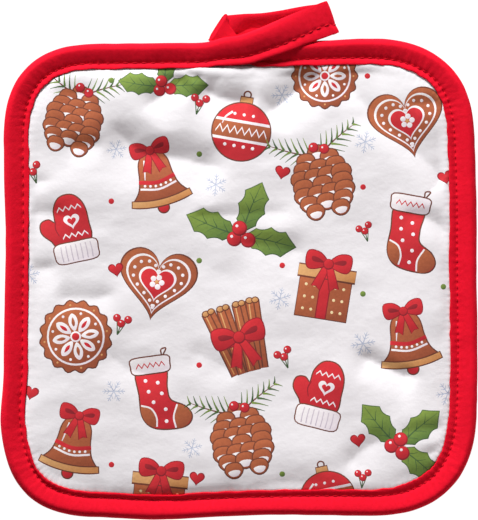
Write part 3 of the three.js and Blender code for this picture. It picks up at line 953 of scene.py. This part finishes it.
def lumps(x, y):
    height = np.zeros_like(x)
    for lump in LUMPS:
        c, s = math.cos(math.radians(lump["turn"])), math.sin(math.radians(lump["turn"]))
        across, along = (x * c + y * s) / lump["across"], (y * c - x * s) / lump["along"]
        height += lump["high"] * unevenness(across + 20.3, along + 20.7, lump["seed"])
    return height


def front_z(xy):
    """Height of the front cloth."""
    x, y = xy[:, 0], xy[:, 1]
    place, deep = nearest_edge(xy)
    edge_x, edge_y = edge_at(EDGE, place).T
    deep = deep - sewn_places(edge_x, edge_y)[1] * ease((deep - CLOTH_FROM_IN) / 3.5)
    z = height_from(FRONT_RISE, np.minimum(deep, FRONT_RISE[-1]["in"]))
    z += CROWN * (1 - np.exp(-np.maximum(0, deep - CROWN_FROM_IN) / CROWN_EASE))
    z += (fold_lift(xy) + lumps(x, y)) * ease((deep - FREE_FROM_IN) / FREE_OVER)
    # Small gathers where the seam draws the cloth in, and the pull of each stitch
    fading = np.exp(-np.maximum(0, deep - HEM_IN) / 5) * ease((deep - CLOTH_FROM_IN) / 2)
    z += 0.2 * unevenness(place / EDGE_POINTS * GATHERS, deep / 14, 3) * fading
    pull = np.cos(2 * math.pi * stitch_count(place)) * np.exp(-np.maximum(0, deep - HEM_IN) / 1.5)
    z -= 0.05 * pull * ease((deep - CLOTH_FROM_IN) / 1.5)
    # Under the loop's first run the rim is pressed flat, and the cloth comes up to the run's hem
    under = np.where(edge_y > 0, ease((edge_x + 27) / 8) * ease((10 - edge_x) / 6), 0.0)
    z += 0.55 * under * ease((deep - 9.4) / 1.0) * ease((16 - deep) / 5)
    drop = z - pressed_z(z, RIM_KEEPS, pressing(edge_x, edge_y))
    reach = PRESSED_REACH * (1 - 0.4 * ease((edge_x - 4) / 6))
    return z - drop * ease(1 - (deep - CLOTH_FROM_IN) / reach)


def back_z(xy):
    """Height of the back cloth, which lies on the table but for its softest parts."""
    deep = nearest_edge(xy)[1]
    z = height_from(BACK_FALL, np.clip(deep, BACK_FALL[0]["in"], BACK_FALL[-1]["in"]))
    lifted = np.maximum(0, unevenness(xy[:, 0] / 12 + 20, xy[:, 1] / 12 + 20, 4)) * 0.25
    return np.where(deep < CLOTH_FROM_IN + 0.02, BACK_FALL[0]["z"], z + lifted * ease((deep - 14) / 8))


def even_net(step, deeper):
    """An even net of places that lie deeper than this inside the edge."""
    across = np.arange(-100, 100, step)
    x, y = np.meshgrid(across, np.arange(-100, 100, step * 0.87))
    x = x + 0.5 * step * (np.arange(len(y)) % 2)[:, None]
    xy = np.column_stack([x.ravel(), y.ravel()])
    inside = (np.abs(xy) < 92).all(1)
    xy = xy[inside]
    return xy[nearest_edge(xy)[1] > deeper]


def cut_cloth(boundary, places, outlines):
    """Triangles that fill the boundary, with every outline among their edges.

    Gives the points, the triangles and the number of the last outline round each, or -1 for none.
    """
    outlines = [anticlockwise(p) for p in [boundary, *outlines]]
    starts = np.cumsum([0] + [len(p) for p in outlines])
    rings = [list(range(a, a + len(p))) for a, p in zip(starts, outlines)]
    given = [Vector(p) for p in np.vstack([*outlines, places])]
    xy, _, tris, _, _, inside = delaunay_2d_cdt(given, [], rings, 0, 1e-5, True)
    kept = [number for number, covers in enumerate(inside) if 0 in covers]
    last = np.array([max(inside[number]) - 1 for number in kept])
    return np.array([tuple(v) for v in xy]), [list(tris[number]) for number in kept], last


def border_of(tris):
    """The points along the border of a sheet of triangles, in order."""
    sides = {(a, b) for tri in tris for a, b in zip(tri, tri[1:] + tri[:1])}
    after = {a: b for a, b in sides if (b, a) not in sides}
    line = [next(iter(after))]
    while after[line[-1]] != line[0]:
        line.append(after[line[-1]])
    return line


def make_pad(shapes):
    boundary = EDGE[::2] + EDGE_INTO[::2] * CLOTH_FROM_IN
    near = [EDGE[::2] + EDGE_INTO[::2] * d for d in NET_ROWS_IN]
    places = np.vstack([*near, even_net(step=1.5, deeper=16.0)])
    xy, tris, last = cut_cloth(boundary, places, [shape["outline"] for shape in shapes])
    front = np.column_stack([xy, front_z(xy)])
    border = border_of(tris)
    at, place = xy[border], nearest_edge(xy[border])[0]
    press = pressing(*edge_at(EDGE, place).T)
    into = edge_at(EDGE_INTO, place)
    rings = [front[border]]
    for row in RIM:
        z = pressed_z(np.full(len(at), row["z"]), RIM_KEEPS, press)
        rings.append(np.column_stack([at + into * (row["in"] - CLOTH_FROM_IN), z]))
    back_xy, back_tris, _ = cut_cloth(at, even_net(step=3.0, deeper=10.5), [])
    back_from = len(front) + len(rings) * len(at)
    rim = tube_faces(len(rings), len(at), len(front))
    faces = [*tris, *rim, *[[back_from + v for v in tri[::-1]] for tri in back_tris]]
    points = np.vstack([front, *rings, np.column_stack([back_xy, back_z(back_xy)])])
    points, faces, kept = joined(points, faces)
    last = last[kept[kept < len(tris)]]
    piece = new_piece("pad_cloth", points, faces, points[:, :2], PRINTED)
    paint(piece.data, shapes, last, points)
    shade_by_height(piece.data, np.unique(np.concatenate(faces[: len(last)])), points)
    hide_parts("pad")


def shade_by_height(mesh, front, points):
    """Normals of the front cloth from its own height, so that the print's net leaves no mark on it."""
    normals = np.empty(3 * len(points))
    mesh.vertices.foreach_get("normal", normals)
    normals = normals.reshape(-1, 3)
    step = 0.1
    xy, here = points[front, :2], points[front, 2]
    rise_x, rise_y = ((front_z(xy + aside) - here) / step for aside in ((step, 0), (0, step)))
    normals[front] = unit(np.column_stack([-rise_x, -rise_y, np.ones(len(xy))]))
    mesh.normals_split_custom_set_from_vertices(normals.tolist())


def paint(mesh, shapes, last, points):
    """The ink at each corner of the mesh, whose first triangles are the front; the rest is plain ground."""
    plain = len(shapes)
    inks = [*shapes, {**INKS["ground"], "from": 0, "extent": 1}]
    corner = np.empty(len(mesh.loops), int)
    mesh.loops.foreach_get("vertex_index", corner)
    who = np.full(len(corner), plain)
    who[: 3 * len(last)] = np.repeat(np.where(last < 0, plain, last), 3)
    names = ("light", "deep", "mottle", "from", "extent")
    light, deep, mottle, start, extent = (np.array([ink[name] for ink in inks])[who] for name in names)
    t = np.clip((points[corner, :2] @ WASH - start) / extent, 0, 1)[:, None]
    colours = np.column_stack([light * (1 - t) + deep * t, mottle])
    mesh.color_attributes.new("ink", "FLOAT_COLOR", "CORNER").data.foreach_set("color", colours.ravel())


# Binding and loop, one folded tape
def ring_part():
    """Stations of the tape from its hidden start clockwise round the mat to where it leaves."""
    first = top_edge_at(TAPE_STARTS_X)
    steps = EDGE_POINTS - (top_edge_at(TAPE_LEAVES_X) - first)
    at = first - np.linspace(0, steps, round(steps * 0.5 / TAPE_STEP))
    found = edge_at(np.column_stack([EDGE, EDGE_INTO, EDGE_TURNING]), at)
    count = stitch_count(at) + np.floor(at / EDGE_POINTS) * EDGE_STITCHES[-1]
    return found[:, :2], unit(found[:, 2:4]), found[:, 4], count


def facing(stations, way):
    """Stations with the way that the tape's front looks there as three more columns."""
    return np.column_stack([stations, np.broadcast_to(way, (len(stations), 3))])


def run_part(run, way, skip=0):
    """Stations of a flat run of the tape: its outer and inner edge, its height and the way it looks."""
    table = np.array([[*row["outer"], *row["inner"], row["z"]] for row in run])
    dense = smooth_curve(table, 20 * (len(run) - 1) + 1)[20 * skip :]
    middle_line = (dense[:, 0:2] + dense[:, 2:4]) / 2
    count = round(np.linalg.norm(np.diff(middle_line, axis=0), axis=1).sum() / TAPE_STEP) + 1
    return facing(resampled(np.column_stack([middle_line, dense]), count, closed=False)[:, 2:], way)


def fold_part(start, end, side, count):
    """Half a turn of the tape about one of its own crossings, from one height to the other."""
    ends = np.array([[*row["outer"], *row["inner"]] for row in (start, end)])
    crossing = ends[0, 2:] - ends[0, :2]
    square = unit(np.array([-crossing[1], crossing[0]]))
    square *= np.sign(square[0]) * side
    radius = (start["z"] - end["z"]) / 2
    turn = np.linspace(0, math.pi, count + 2)[1:-1][:, None]
    plan = ends.mean(0) + np.tile(abs(radius) * np.sin(turn) * square, 2)
    up = np.column_stack([np.sin(turn) * square, np.cos(turn)]) * np.sign(radius)
    return np.column_stack([plan, start["z"] + radius * (np.cos(turn) - 1), up])


def tape_stations():
    """Every station of the tape: its edges in plan, its height, which way it looks and how it is held."""
    edge, into, turning, stitches = ring_part()
    ring = np.column_stack([edge, edge + into * HEM_IN, np.full(len(edge), RING_Z)])[:-1]
    lead = []
    for x in (TAPE_LEAVES_X - 12, TAPE_LEAVES_X):
        k = top_edge_at(x)
        lead.append({"outer": EDGE[k], "inner": EDGE[k] + EDGE_INTO[k] * HEM_IN, "z": RING_Z})
    parts = [
        facing(ring, UP),
        run_part([*lead, *FRONT_RUN], UP, skip=1),
        fold_part(FRONT_RUN[-1], BACK_RUN[0], 1, 16),
        run_part(BACK_RUN, DOWN),
        fold_part(BACK_RUN[-1], TAIL[0], -1, 10),
        run_part(TAIL, UP),
    ]
    table = np.vstack(parts)
    part = np.repeat(range(len(parts)), [len(stations) for stations in parts])[:, None]
    on_ring, on_front, beyond = part == 0, part == 1, part > 1
    place = np.arange(len(table))[:, None]
    # Only the tape's start counts here, not the same side of the mat where it comes round again
    at_start = place < len(table) / 3
    x, y = table[:, :1], table[:, 1:2]
    tight = (part > 2) * ease((4 - x) / 8)
    crossing = np.where(x < CROSSES_X, (CROSSES_X - x) / 7, (x - CROSSES_X) / 8)
    seam_further, hem_further, lean = sewn_places(*table[:, :2].T)[:, :, None] * (on_ring | on_front)
    seam = table[:, :2] + (table[:, 2:4] - table[:, :2]) * (SEAM_IN / HEM_IN)
    step = np.linalg.norm(np.diff(np.column_stack([seam, table[:, 4]]), axis=0), axis=1)
    more = stitches[-1] - np.cumsum(step[len(ring) - 1 :]) / STITCH
    return SimpleNamespace(
        outer=table[:, :2],
        inner=table[:, 2:4],
        base=table[:, 4:5],
        up=table[:, 5:],
        stitches=np.concatenate([stitches[:-1], more])[:, None],
        turning=np.concatenate([turning[:-1], np.zeros(len(table) - len(ring))])[:, None],
        wrap=np.where(on_ring, 1, on_front * (1 - ease((x + 20) / 18))),
        behind=on_ring | on_front & (x < CROSSES_X),
        drawn=np.where(on_front, 0.06 + 0.94 * ease(crossing), 1),
        press=at_start * pressing(x, y),
        tuck=(place < 60) * ease((-5 - x) / 7),
        # Full in the roll, the tape goes flat towards the loop's far end and is full again behind it
        puff=on_ring + on_front * (1.35 - 1.1 * ease((x - 6) / 28))
        + beyond * (0.25 + 0.55 * ease((35 - x) / 10) - 0.35 * tight),
        # Towards the loop's far end the seam wanders outwards, and behind it the tape hangs to its inner edge
        seam_off=on_front * ease((x - 12) / 20),
        sag=beyond * ease((x + 2) / 8) * ease((34 - x) / 8),
        flatter=on_front * ease((x - 8) / 14),
        tight=tight,
        lean=lean * on_ring,
        seam_further=seam_further,
        hem_further=hem_further,
        # Under the loop the tape's start is cut back to its seam, and a corner of it shows under the hem
        short=at_start * ease((8 - x) / 4),
        corner=on_front * np.exp(-(((x + 14.4) / 0.9) ** 2)),
    )


def section_samples():
    """Place along the section's rows of each point of the tape's outside, from hem to hem."""
    front = np.linspace(0, NOSE_ROW, FRONT_SAMPLES)
    back = np.linspace(NOSE_ROW, len(TAPE_SECTION) - 1, BACK_SAMPLES + 1)[1:]
    return np.concatenate([front, back])


def section_column(name):
    """A column of the section at its samples."""
    values = [[row[name]] for row in TAPE_SECTION]
    dense = smooth_curve(values, 40 * (len(values) - 1) + 1)[:, 0]
    return np.interp(section_samples(), np.linspace(0, len(values) - 1, len(dense)), dense)


def tape_outside(at):
    """Distance across and height of the outside at every station, before the sewing draws it in."""
    inward, z, across, flat = (section_column(name) for name in ("in", "z", "across", "flat"))
    row = section_samples()
    on_front = row < NOSE_ROW
    flange = ease((inward - SEAM_IN) / 2.2) * (row < SEAM_ROW)
    wrapped_a = inward + 0.35 * at.tuck * (1 - inward / HEM_IN)
    wrapped_a = wrapped_a - np.maximum(0, inward - SEAM_IN) * 0.5 * at.short * (flange > 0)
    to_seam = on_front * ease((inward - 2.5) / (SEAM_IN - 2.5))
    to_hem = flange * (at.hem_further - at.seam_further) * (1 - at.short)
    wrapped_a = wrapped_a + to_seam * at.seam_further + to_hem
    held_up = ease((inward - SEAM_IN) / 1.2) * (flange > 0) * (1 - at.short)
    wrapped_h = pressed_z(z, TAPE_KEEPS, at.press * (1 - held_up))
    wrapped_h = wrapped_h + 0.65 * at.tuck * (wrapped_h < 2.0)
    leaning = on_front * ease(inward / 1.2) * np.maximum(0, 1 - inward / SEAM_IN)
    wrapped_h = wrapped_h + at.lean * leaning
    near_seam = np.interp(row, [0, SEAM_ROW, SEAM_ROW + 5], [0.0, 1.0, 0.0])
    wide = np.linalg.norm(at.inner - at.outer, axis=1)[:, None]
    flat_a = (1 - (1 - across) ** (1 + at.tight)) * wide + flange * 0.7 * at.corner - near_seam * at.seam_off
    flat_h = at.base + flat * np.where(flat > 0, at.puff, 1.0)
    flat_h = flat_h + 1.2 * at.sag * ease((across - 0.06) / 0.5) * (row > NOSE_ROW)

    def mixed(wrapped, flat):
        """The two by how far the tape is wrapped, with the half behind drawn back to the edge."""
        found = at.wrap * wrapped + (1 - at.wrap) * flat
        lower = at.behind * wrapped + (1 - at.behind) * flat
        nose = FRONT_SAMPLES - 1
        found[:, nose:] = found[:, nose : nose + 1] + at.drawn * (lower[:, nose:] - lower[:, nose : nose + 1])
        return found

    return mixed(wrapped_a, flat_a), mixed(wrapped_h, flat_h)


def turned_in(a, h, by):
    """The same section moved in by the thickness of the cloth."""
    da, dh = np.gradient(a, axis=1), np.gradient(h, axis=1)
    size = np.maximum(np.hypot(da, dh), 1e-9)
    return a - by * dh / size, h + by * da / size


def sewn(stations, a, h):
    """The outside drawn in by the stitches, eased round the corners and uneven as handled cloth is."""
    at = section_samples()
    count, turning, flatter = stations.stitches, stations.turning, stations.flatter
    reach = section_column("in") - SEAM_IN
    front = at < NOSE_ROW
    hole = 0.5 + 0.5 * np.cos(2 * math.pi * count)
    groove = np.exp(-((reach / 0.75) ** 2)) * (0.08 * (1 - flatter) + (0.14 + 0.08 * flatter) * hole)
    gather = hole**2 * np.exp(-np.abs(reach) / (1.3 + 1.2 * turning)) * (0.08 + 0.08 * turning)
    near = np.exp(-((reach / 1.6) ** 2))
    slow = unevenness(count * 0.45, at / 5 + 7, 5) * 0.14 + unevenness(count * 0.1, at / 9 + 7, 6) * 0.2
    fine = unevenness(count * 1.9, at / 2.5 + 7, 7) * 0.05 * (0.4 + turning + near)
    wave = unevenness(count * 0.8, 3.0, 8) * 0.3 + 0.07 * np.cos(2 * math.pi * count) * turning
    swell = unevenness(count * 0.7, at / 8 + 3, 9) * 0.1 + unevenness(count * 0.16, 3.0, 10) * 0.12
    h = h - np.where(front, 1.0, -1.0) * (groove + gather) + (slow + fine) * front
    a = a + ease((reach - 0.8) / 1.6) * wave + np.exp(-((at - NOSE_ROW) ** 2) / 6) * swell
    return a, h


def in_space(at, a, h, lowest=0.0):
    """Points of a section at every station, none of them under the table that the tape lies on."""
    base = np.where(at.up[:, 2:] == 1, 0, at.base)
    plan = at.outer[:, None] + unit(at.inner - at.outer)[:, None] * a[:, :, None]
    points = np.dstack([plan, base + 0 * a]) + at.up[:, None] * (h - base)[:, :, None]
    points[:, :, 2] = np.maximum(points[:, :, 2], lowest)
    return points


def make_tape(stations):
    a, h = tape_outside(stations)
    outside = in_space(stations, *sewn(stations, a, h))
    lining = in_space(stations, *turned_in(a, h, TAPE_CLOTH), TAPE_CLOTH)[:, ::LINING_EVERY]
    front_hem = (outside[:, :1] + lining[:, :1]) / 2
    back_hem = (outside[:, -1:] + lining[:, -1:]) / 2
    rings = np.concatenate([outside, back_hem, lining[:, ::-1], front_hem], axis=1)
    n, m = rings.shape[:2]
    faces = [*tube_faces(n, m), list(range(m)), list(range((n - 1) * m, n * m))[::-1]]
    long = np.hypot(np.diff(section_column("in")), np.diff(section_column("z")))
    across = np.concatenate([[0], np.cumsum(long)])
    across = np.concatenate([across, across[-1:], across[::LINING_EVERY][::-1], across[:1]])
    cloth = np.column_stack([np.repeat(np.arange(n) * TAPE_STEP, m), np.tile(across, n)])
    piece = new_piece("binding_tape", rings.reshape(-1, 3), faces, cloth, TAPE_RED)
    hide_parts("binding", "hanging_loop")
    return piece, outside


def thread_line(outside, row):
    """The middle of the thread along a row of the section, and the way out of the cloth there."""
    column = int(np.argmin(np.abs(section_samples() - row)))
    line = outside[:, column]
    over = outside[:, column + 1] - outside[:, column - 1]
    out = unit(np.cross(unit(np.gradient(line, axis=0)), unit(over)))
    return np.column_stack([line + out * THREAD_RADIUS * 0.6, out])


def make_stitching(count, outside):
    """Every stitch that shows, each a short bent length of thread with its ends down in the cloth."""
    dip = np.array([-0.42, -0.1, 0, 0, -0.1, -0.42])[:, None]
    thick = THREAD_RADIUS * np.array([0.7, 1, 1, 1, 1, 0.7])[:, None, None]
    rings, sides = len(dip), 6
    turn = full_turn(sides)[:, None]
    end, middle, stitch = (rings - 1) * sides, rings * sides, rings * sides + 2
    around = [(j, (j + 1) % sides) for j in range(sides)]
    caps = [cap for j, i in around for cap in ([middle, j, i], [middle + 1, end + i, end + j])]
    numbers = np.arange(math.ceil(count.min()), math.floor(count.max()))
    at = numbers[:, None] + np.linspace(*THREAD_SHOWS, rings)
    order = np.argsort(count)
    points = []
    for row in (SEAM_ROW, BACK_SEAM_ROW):
        seam = thread_line(outside, row)[order].T
        found = np.dstack([np.interp(at, count[order], column) for column in seam])
        out = found[:, :, 3:]
        line = found[:, :, :3] + out * dip
        line[:, :, 2] = np.maximum(line[:, :, 2], THREAD_RADIUS)
        along = unit(np.gradient(line, axis=1))
        side = unit(np.cross(along, out))
        round_it = side[:, :, None] * np.cos(turn) + np.cross(side, along)[:, :, None] * np.sin(turn)
        tubes = (line[:, :, None] + round_it * thick).reshape(len(at), -1, 3)
        points.append(np.concatenate([tubes, line[:, :1], line[:, -1:]], axis=1).reshape(-1, 3))
    points = np.vstack(points)
    one = [*tube_faces(rings, sides), *caps]
    faces = [[first + v for v in face] for first in range(0, len(points), stitch) for face in one]
    run = np.hstack([np.repeat(at, sides, axis=1), at[:, :1], at[:, -1:]]).ravel() * STITCH
    round_run = np.tile([*np.tile(turn[:, 0], rings), 0, 0], len(at)) * THREAD_RADIUS
    cloth = np.tile(np.column_stack([run, round_run]), (2, 1))
    return new_piece("seam_stitches", points, faces, cloth, THREAD_RED)


make_pad(printed_shapes())
stations = tape_stations()
tape, outside = make_tape(stations)
stitching = make_stitching(stations.stitches[:, 0], outside)


# Table, light and camera
def pale_table():
    mesh = bpy.data.meshes.new("table")
    mesh.from_pydata([(x, y, TABLE_Z) for x, y in oblong(-2, -2, 2, 2)], [], [(0, 1, 2, 3)])
    mesh.materials.append(Shader("pale_table").finish({
        "Base Color": (0.1, 0.1, 0.1, 1),
        "Roughness": 0.9,
        "Emission Color": (1, 1, 1, 1),
        "Emission Strength": 1.0,
    }))
    placed("table", mesh)


def soft_light(name, place, size, power, colour):
    light = bpy.data.lights.new(name, "AREA")
    light.shape = "SQUARE"
    light.size = size
    light.energy = power
    light.color = colour
    placed(name, light, place).rotation_euler = (-Vector(place)).to_track_quat("-Z", "Y").to_euler()


pale_table()
soft_light("window", (-1.2, 4.73, 1.83), 1.4, 600.0, (1.0, 1.0, 1.0))
soft_light("lamp", (0.26, -0.2, 0.38), 0.3, 0.55, (1.0, 0.94, 0.94))
world = bpy.data.worlds.new("studio")
world.use_nodes = True
background = world.node_tree.nodes["Background"].inputs
background["Color"].default_value = (1.0, 0.82, 0.82, 1)
background["Strength"].default_value = 0.09
bpy.context.scene.world = world
bpy.context.scene.view_settings.view_transform = "Standard"

camera = bpy.data.cameras.new("camera")
camera.lens = 120
camera.sensor_width = 36
camera.sensor_fit = "AUTO"
bpy.context.scene.camera = placed("camera", camera, (0.00002, 0.0001, 0.738))
